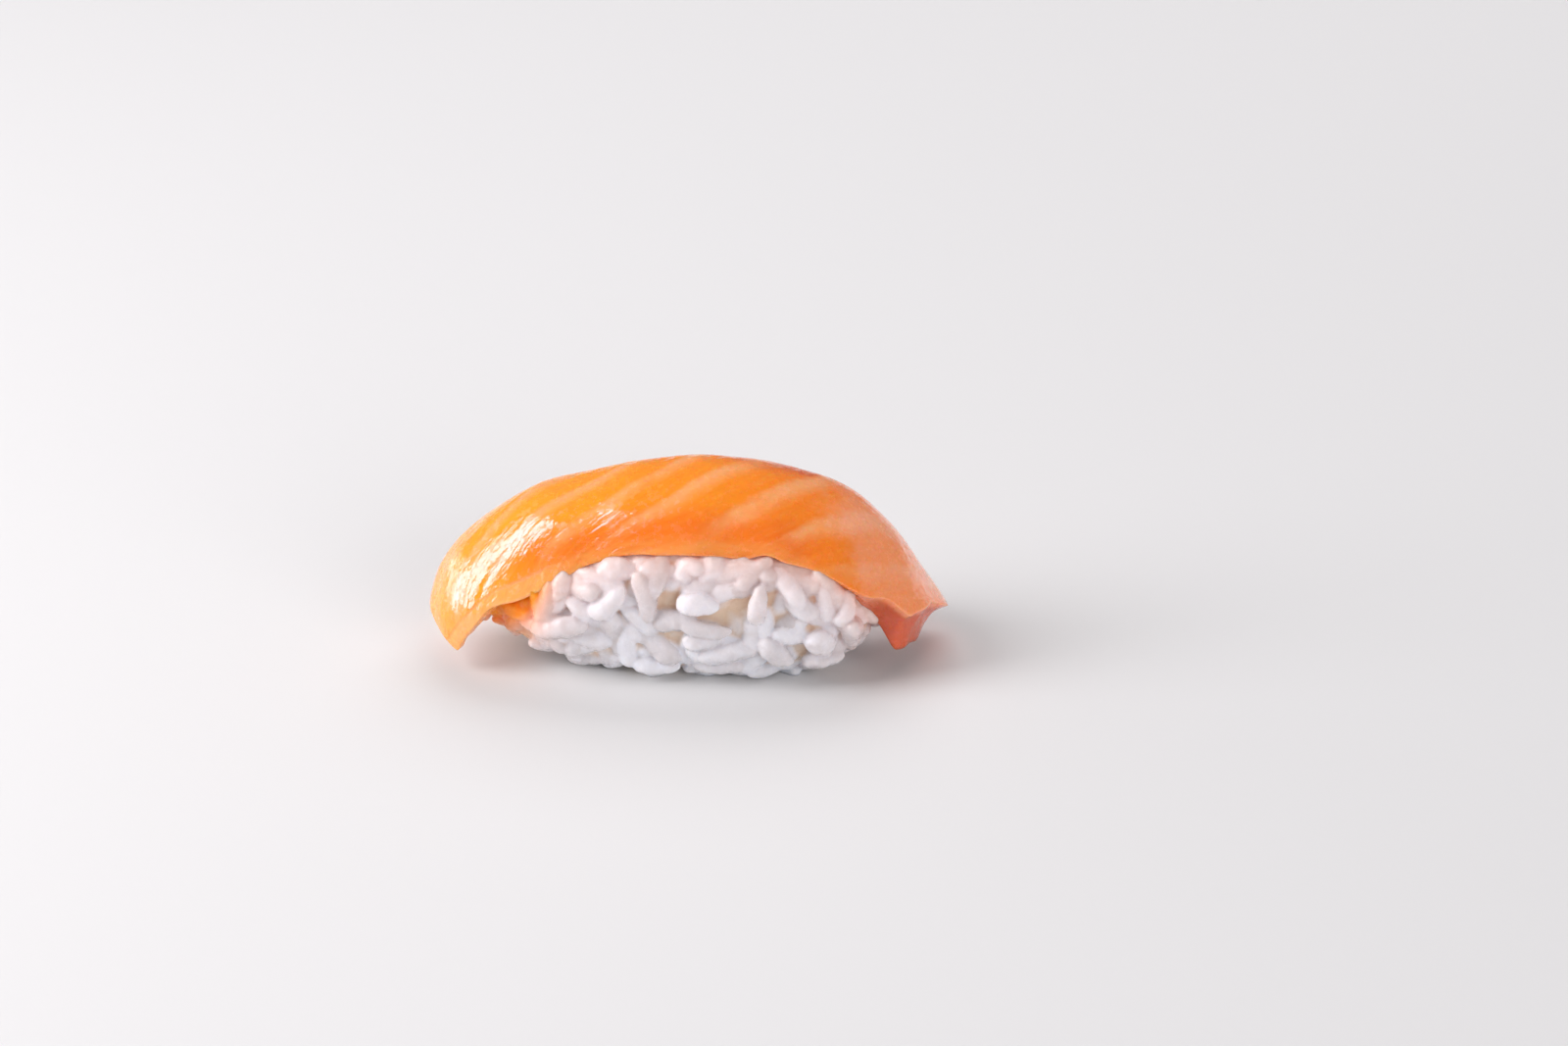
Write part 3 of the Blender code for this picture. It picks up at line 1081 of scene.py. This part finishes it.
class Recipe(Bench):
    """A material under construction: a Principled shader and the nodes that feed it."""

    def __init__(self, name: str) -> None:
        """Starts a material with nothing but its shader.

        Args:
            name: the material's name.
        """
        self.material = bpy.data.materials.new(name)
        self.material.use_nodes = True
        super().__init__(self.material.node_tree)
        self.shader = self.tree.nodes["Principled BSDF"]

    def wet(self, heights: Value, film: "WetFilm") -> None:
        """Lays the wet film over the surface: its small bumps and its uneven gloss.

        Args:
            heights: the surface's own relief in millimetres.
            film: how the film lies.
        """
        values = {"Place": self.place_mm(), "Pools": film.pools, "Beads": film.beads}
        made = self.node("ShaderNodeGroup", values, node_tree=WetFilm.group())
        height = self.sums("ADD", heights, made.outputs["Height"])
        bump = self.node("ShaderNodeBump", {"Height": height, "Strength": 1.0, "Distance": MM})
        self.feed(self.shader.inputs["Normal"], bump.outputs[0])
        dry = self.ramped(made.outputs["Dryness"], *film.drying, *film.roughness)
        self.feed(self.shader.inputs["Roughness"], dry)

    def set_even(self, **values: object) -> bpy.types.Material:
        """Sets the shader values that are the same all over.

        Args:
            **values: socket names with underscores for spaces, and their values.

        Returns:
            The material.
        """
        for name, value in values.items():
            self.shader.inputs[name.replace("_", " ")].default_value = value
        return self.material


POOLS_A_MM = 0.55
BEADS_A_MM = 4.2
DRY_SPOTS_A_MM = 1.1


@dataclass(frozen=True)
class WetFilm:
    """The thin film of moisture on fish and rice: broad pools, small beads and drier spots."""

    pools: float
    beads: float
    roughness: tuple[float, float]
    drying: tuple[float, float] = (0.0, 1.0)

    @staticmethod
    def group() -> bpy.types.NodeTree:
        """Builds the node group once, or gives the one built.

        Returns:
            The group: Place, Pools and Beads in, Height in millimetres and Dryness out.
        """
        built = bpy.data.node_groups.get("wet film")
        if built:
            return built
        group = bpy.data.node_groups.new("wet film", "ShaderNodeTree")
        group.interface.new_socket("Place", in_out="INPUT", socket_type="NodeSocketVector")
        for name in ("Pools", "Beads"):
            group.interface.new_socket(name, in_out="INPUT", socket_type="NodeSocketFloat")
        for name in ("Height", "Dryness"):
            group.interface.new_socket(name, in_out="OUTPUT", socket_type="NodeSocketFloat")
        bench = Bench(group)
        given = bench.node("NodeGroupInput").outputs
        pools = bench.noise(given["Place"], POOLS_A_MM, 2.0)
        beads = bench.noise(given["Place"], BEADS_A_MM, 2.0)
        height = bench.times(pools, given["Pools"])
        height = bench.sums("ADD", height, bench.times(beads, given["Beads"]))
        dryness = bench.ramped(bench.noise(given["Place"], DRY_SPOTS_A_MM, 4.0, 0.65), 0.35, 0.65)
        bench.node("NodeGroupOutput", {"Height": height, "Dryness": dryness})
        return group


@dataclass(frozen=True)
class SalmonFlesh:
    """The raw flesh: orange muscle crossed by soft pale lines of fat, pinker to the right, wet on top.

    A pair of places gives where an effect starts and where it is full, in millimetres on the flat slice.
    """

    left: tuple = tint(250, 160, 26)
    middle: tuple = tint(252, 146, 2)
    right: tuple = tint(246, 134, 6)
    pink: tuple = tint(255, 158, 102)
    blush: tuple = tint(255, 192, 160)
    # Darker orange painted shade along the lower front of the slice, which leans away from the light.
    low_front_shade: tuple = tint(240, 118, 0)
    crest: tuple = tint(214, 92, 48)
    fat: tuple = tint(253, 174, 110)
    # Pale orange painted light: the glow through the thin front edge and the light on the left front bevel.
    thin: tuple = tint(250, 176, 96)
    # Dark red-orange painted shade on the cut face at the right end, which faces down.
    cut: tuple = tint(212, 88, 0)
    # Darker red painted shade on the slice's underside.
    under: tuple = tint(226, 120, 60)
    left_along: Reach = (-6.0, -24.0)
    right_along: Reach = (-2.0, 10.0)
    low_shade_across: Reach = (-6.5, -10.0)
    low_shade_start: Reach = (-34.0, -22.0)
    low_shade_end: Reach = (20.0, 10.0)
    crest_across: Reach = (-1.0, 2.5)
    crest_along: Reach = (-6.0, 6.0)
    pink_along: Reach = (18.0, 24.5)
    pink_bend: float = -0.27
    pink_fraying: float = 14.0
    rim_across: Reach = (-10.6, -12.2)
    bevel_width: Reach = (1.7, 1.3)
    bevel_along: Reach = (-18.0, -28.0)
    underside_shade_depth: Reach = (3.0, 4.3)
    cut_shade_depth: Reach = (0.3, 1.3)
    cut_shade_along: Reach = (24.0, 29.0)
    spacing: float = 9.7
    streak_relief: float = 0.17
    line_relief: float = -0.05
    thread_relief: float = 0.1
    bevel_relief: float = -0.12
    film: WetFilm = WetFilm(0.09, 0.003, (0.025, 0.4), (0.72, 0.84))

    def material(self) -> bpy.types.Material:
        """Builds the material.

        Returns:
            The material.
        """
        r = Recipe("raw salmon")
        flat = r.carried("flat_mm", "Vector")
        along, across, depth = r.node("ShaderNodeSeparateXYZ", {0: flat}).outputs
        stagger = self._stagger(r, flat, along, across)
        fibre = r.fibres(stagger, across, (1.1, 0.22), 4.0, 0.6)
        edge_fibre = r.fibres(along, across, (0.12, 1.3), 3.0, 0.6)
        mottle = r.noise(flat, 0.34, 4.0, 0.62)
        hue = r.mixed(r.ramped(along, *self.left_along), self.middle, self.left)
        hue = r.mixed(r.ramped(along, *self.right_along), hue, self.right)
        # Painted shade: the lower front band, away from both ends, is darkened.
        low = r.times(r.ramped(across, *self.low_shade_across), r.ramped(along, *self.low_shade_start))
        low = r.times(low, r.ramped(along, *self.low_shade_end))
        hue = r.mixed(r.times(low, 0.8), hue, self.low_front_shade)
        top = r.times(r.ramped(across, *self.crest_across), r.ramped(along, *self.crest_along))
        hue = r.mixed(r.times(top, r.ramped(mottle, 0.35, 0.6, 0.3, 0.8)), hue, self.crest)
        hue = r.mixed(r.times(r.ramped(fibre, 0.45, 0.7), 0.14), hue, self.fat)
        line = self._fat_lines(r, flat, stagger, across)
        hue = r.mixed(line, hue, self.fat)
        front = r.sums("MAXIMUM", r.times_plus(across, -1.0, -4.0), 0.0)
        border = r.times_plus(r.times(front, front), self.pink_bend, along)
        border = r.times_plus(mottle, self.pink_fraying, border)
        pink = r.ramped(border, *self.pink_along)
        pink = r.times(pink, r.ramped(r.noise(flat, 0.9, 4.0, 0.6), 0.2, 0.6, 0.5, 0.95))
        hue = r.mixed(pink, hue, self.pink)
        hue = r.mixed(r.times(pink, r.times(line, 0.5)), hue, self.blush)
        # Painted light: a pale glow along the thin front edge, where light comes through the flesh.
        rim = r.times(r.ramped(across, *self.rim_across), r.ramped(edge_fibre, 0.3, 0.6, 0.35, 1.0))
        hue = r.mixed(r.times(rim, 0.45), hue, self.thin)
        # Painted light: the bevel along the left front edge is painted paler, as if lit, and is grooved in
        # the relief.
        bevel = r.ramped(r.carried("edge_mm"), *self.bevel_width)
        bevel = r.times(bevel, r.ramped(along, *self.bevel_along))
        hue = r.mixed(r.times(bevel, 0.7), hue, self.thin)
        # Painted shade on the underside of the slice.
        hue = r.mixed(r.times(r.ramped(depth, *self.underside_shade_depth), 0.8), hue, self.under)
        # Painted shade: the cut face at the right end is darkened.
        cut = r.times(r.ramped(depth, *self.cut_shade_depth), r.ramped(along, *self.cut_shade_along))
        hue = r.mixed(cut, hue, self.cut)
        r.feed(r.shader.inputs["Base Color"], hue)
        heights = r.times(r.fibres(stagger, across, (0.5, 0.2), 3.0), self.streak_relief)
        heights = r.times_plus(line, self.line_relief, heights)
        threads = r.fibres(along, across, (0.35, 1.2), 2.0)
        heights = r.times_plus(threads, self.thread_relief, heights)
        heights = r.times_plus(bevel, self.bevel_relief, heights)
        r.wet(heights, self.film)
        return r.set_even(
            IOR=1.6,
            Specular_IOR_Level=1.0,
            Specular_Tint=(1.0, 0.7, 0.95, 1.0),
            Subsurface_Weight=0.55,
            Subsurface_Radius=(1.0, 0.32, 0.1),
            Subsurface_Scale=1.5 * MM,
        )

    def _stagger(self, r: Recipe, flat: Socket, along: Socket, across: Socket) -> Socket:
        """Straightens the leaning lines of fat, which lean more to the left and bend forward.

        Args:
            r: the material's recipe.
            flat: the flat place in millimetres.
            along: its part along the slice.
            across: its part across.

        Returns:
            The distance in millimetres across the lines.
        """
        front = r.sums("ADD", across, 5.0)
        lean = r.ramped(along, -15.0, 5.0, 1.85, 1.08)
        straight = r.sums("SUBTRACT", along, r.times(lean, front))
        straight = r.times_plus(r.times(front, front), 0.035, straight)
        straight = r.times_plus(r.noise(flat, 0.1, 1.0), 4.0, straight)
        return r.times_plus(r.noise(flat, 0.7, 3.0), 1.3, straight)

    def _fat_lines(self, r: Recipe, flat: Socket, stagger: Socket, across: Socket) -> Socket:
        """Draws the lines of fat: crisper on their left side, patchy, and fading to the front edge.

        Args:
            r: the material's recipe.
            flat: the flat place in millimetres.
            stagger: the distance across the lines.
            across: the place across the slice.

        Returns:
            How much fat shows.
        """
        turn = r.sums("FRACT", r.times_plus(stagger, 1 / self.spacing, 0.6))
        line = r.times(r.ramped(turn, 0.34, 0.52), r.ramped(turn, 0.95, 0.56))
        patch = r.ramped(r.noise(flat, 0.15, 3.0), 0.32, 0.6, 0.45, 1.0)
        line = r.times(line, patch)
        return r.times(line, r.ramped(across, -11.5, -8.5, 0.1, 0.85))


@dataclass(frozen=True)
class CookedRice:
    """Moist cooked rice: milky grains that let light in, with orange light from the fish painted on the
    grains beside it.
    """

    pale: tuple = tint(227, 227, 232)
    clear: tuple = tint(208, 204, 206)
    # Beige painted shade for the crevices between the grains.
    crevice_shade: tuple = tint(230, 205, 174)
    # Orange painted light from the fish on the grains beside it.
    painted_fish_light: tuple = tint(250, 142, 36)
    crevice_heights: Reach = (1.0, 0.3)
    left_end: Reach = (-14.0, -20.5)
    glow_shares: Reach = (0.34, 1.9)
    film: WetFilm = WetFilm(0.06, 0.022, (0.16, 0.38))

    def material(self) -> bpy.types.Material:
        """Builds the material.

        Returns:
            The material.
        """
        r = Recipe("cooked rice")
        place = r.place_mm()
        tone = r.carried("grain_tone")
        glow = r.carried("fish_glow")
        cloud = r.noise(place, 0.5, 3.0)
        share = r.times_plus(cloud, 0.8, r.sums("SUBTRACT", tone, 0.55))
        hue = r.mixed(r.ramped(share, 0.0, 0.8), self.clear, self.pale)
        # Painted shade: the deeper a point lies between the grains, the more beige shade is painted on it.
        low = r.ramped(r.carried("height_mm"), *self.crevice_heights)
        hue = r.mixed(r.times(low, 0.8), hue, self.crevice_shade)
        # Painted light: orange from the fish, stronger at the left end and in the crevices.
        across = r.node("ShaderNodeSeparateXYZ", {0: place}).outputs[0]
        side = r.ramped(across, *self.left_end, *self.glow_shares)
        side = r.times_plus(low, 0.15, side)
        hue = r.mixed(r.sums("MINIMUM", r.times(glow, side), 1.0), hue, self.painted_fish_light)
        r.feed(r.shader.inputs["Base Color"], hue)
        r.wet(r.times(cloud, 0.03), self.film)
        return r.set_even(
            IOR=1.42,
            Specular_IOR_Level=0.45,
            Subsurface_Weight=0.85,
            Subsurface_Radius=(1.0, 0.85, 0.75),
            Subsurface_Scale=2.4 * MM,
        )


@dataclass(frozen=True)
class Studio:
    """The plain pale floor, the soft lights and the camera at the photograph's angle."""

    azimuth: float = math.radians(5.5)
    elevation: float = math.radians(25.0)
    distance: float = 0.56
    aim: Vector = field(default_factory=lambda: Vector((0, 0, 12.0)) * MM)
    picture_centre: Vector = field(default_factory=lambda: Vector((11.65, 2.86, 16.03)) * MM)
    lens: float = 105.0
    floor_size: float = 3.0
    light_tint: tuple = (1.0, 0.97, 1.0)
    air_tint: tuple = (0.96, 0.97, 1.0, 1.0)
    air_strength: float = 0.2
    floor_tint: tuple = (0.72, 0.72, 0.71, 1)

    def build(self) -> None:
        """Makes the floor, lights and camera."""
        self._floor()
        self._camera()
        self._light("window left", (-0.83, -0.24, 0.47), 0.6, (0.3, 0.62), 4.3)
        self._light("low strip left", (-1.0, 0.35, 0.1), 0.6, (0.5, 0.1), 0.7)
        self._light("soft back", (0.15, 0.75, 0.8), 0.9, (0.9, 0.6), 4.8, shiny=False)
        self._light("fill front", (0.8, -1.0, 0.45), 1.1, (0.8, 0.6), 6.3, shiny=False)
        world = bpy.data.worlds.new("studio")
        world.use_nodes = True
        background = world.node_tree.nodes["Background"]
        background.inputs["Color"].default_value = self.air_tint
        background.inputs["Strength"].default_value = self.air_strength
        bpy.context.scene.world = world
        bpy.context.scene.view_settings.view_transform = "Standard"

    def _floor(self) -> None:
        """Lays the plain pale floor."""
        bm = bmesh.new()
        bmesh.ops.create_grid(bm, x_segments=1, y_segments=1, size=self.floor_size / 2)
        floor = new_object("floor", mesh_from(bm, "floor"))
        material = bpy.data.materials.new("pale floor")
        material.use_nodes = True
        shader = material.node_tree.nodes["Principled BSDF"]
        shader.inputs["Base Color"].default_value = self.floor_tint
        shader.inputs["Roughness"].default_value = 0.9
        shader.inputs["Specular IOR Level"].default_value = 0.1
        floor.data.materials.append(material)

    def _camera(self) -> None:
        """Sets the camera where the photograph was taken from."""
        away = Vector((math.sin(self.azimuth), -math.cos(self.azimuth), 0)) * math.cos(self.elevation)
        away.z = math.sin(self.elevation)
        data = bpy.data.cameras.new("camera")
        data.lens = self.lens
        data.clip_start = 0.01
        camera = bpy.data.objects.new("camera", data)
        camera.location = self.aim + away * self.distance
        look = self.picture_centre - camera.location
        camera.rotation_mode = "QUATERNION"
        camera.rotation_quaternion = look.to_track_quat("-Z", "Y")
        bpy.context.scene.collection.objects.link(camera)
        bpy.context.scene.camera = camera

    def _light(
        self, name: str, way: tuple, distance: float, size: tuple, watts: float, shiny: bool = True
    ) -> None:
        """Hangs one soft light that faces the piece.

        Args:
            name: the light's name.
            way: the direction it hangs in, from the piece.
            distance: how far off it hangs.
            size: its width and height.
            watts: its power.
            shiny: whether gloss shows it.
        """
        data = bpy.data.lights.new(name, "AREA")
        data.shape = "RECTANGLE"
        data.size, data.size_y = size
        data.energy = watts
        data.color = self.light_tint
        light = bpy.data.objects.new(name, data)
        light.location = self.aim + Vector(way).normalized() * distance
        light.rotation_mode = "QUATERNION"
        light.rotation_quaternion = (self.aim - light.location).to_track_quat("-Z", "Y")
        light.visible_glossy = shiny
        bpy.context.scene.collection.objects.link(light)


def dress(piece: bpy.types.Object, material: bpy.types.Material, node: str) -> None:
    """Gives a piece its material and lets it stand for its CAD node.

    Args:
        piece: the finished piece.
        material: its material.
        node: the CAD node that it stands for, which is hidden.
    """
    piece.data.materials.clear()
    piece.data.materials.append(material)
    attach(piece, "root")
    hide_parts(node)
    LOG.info("%s: %d faces before smoothing", piece.name, len(piece.data.polygons))


def main() -> None:
    logging.basicConfig(level=logging.INFO, format="%(name)s: %(message)s")
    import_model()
    shift = cad_shift()
    heap = RiceHeap(room_under(CAD_GAP), room_under(-CONTACT, True), shift)
    rice = heap.build()
    salmon = SalmonSlice(shift).build(surface_tree(rice))
    heap.glow(rice, surface_tree(salmon))
    dress(salmon, SalmonFlesh().material(), "salmon")
    dress(rice, CookedRice().material(), "rice")
    Studio().build()


if __name__ == "__main__":
    main()
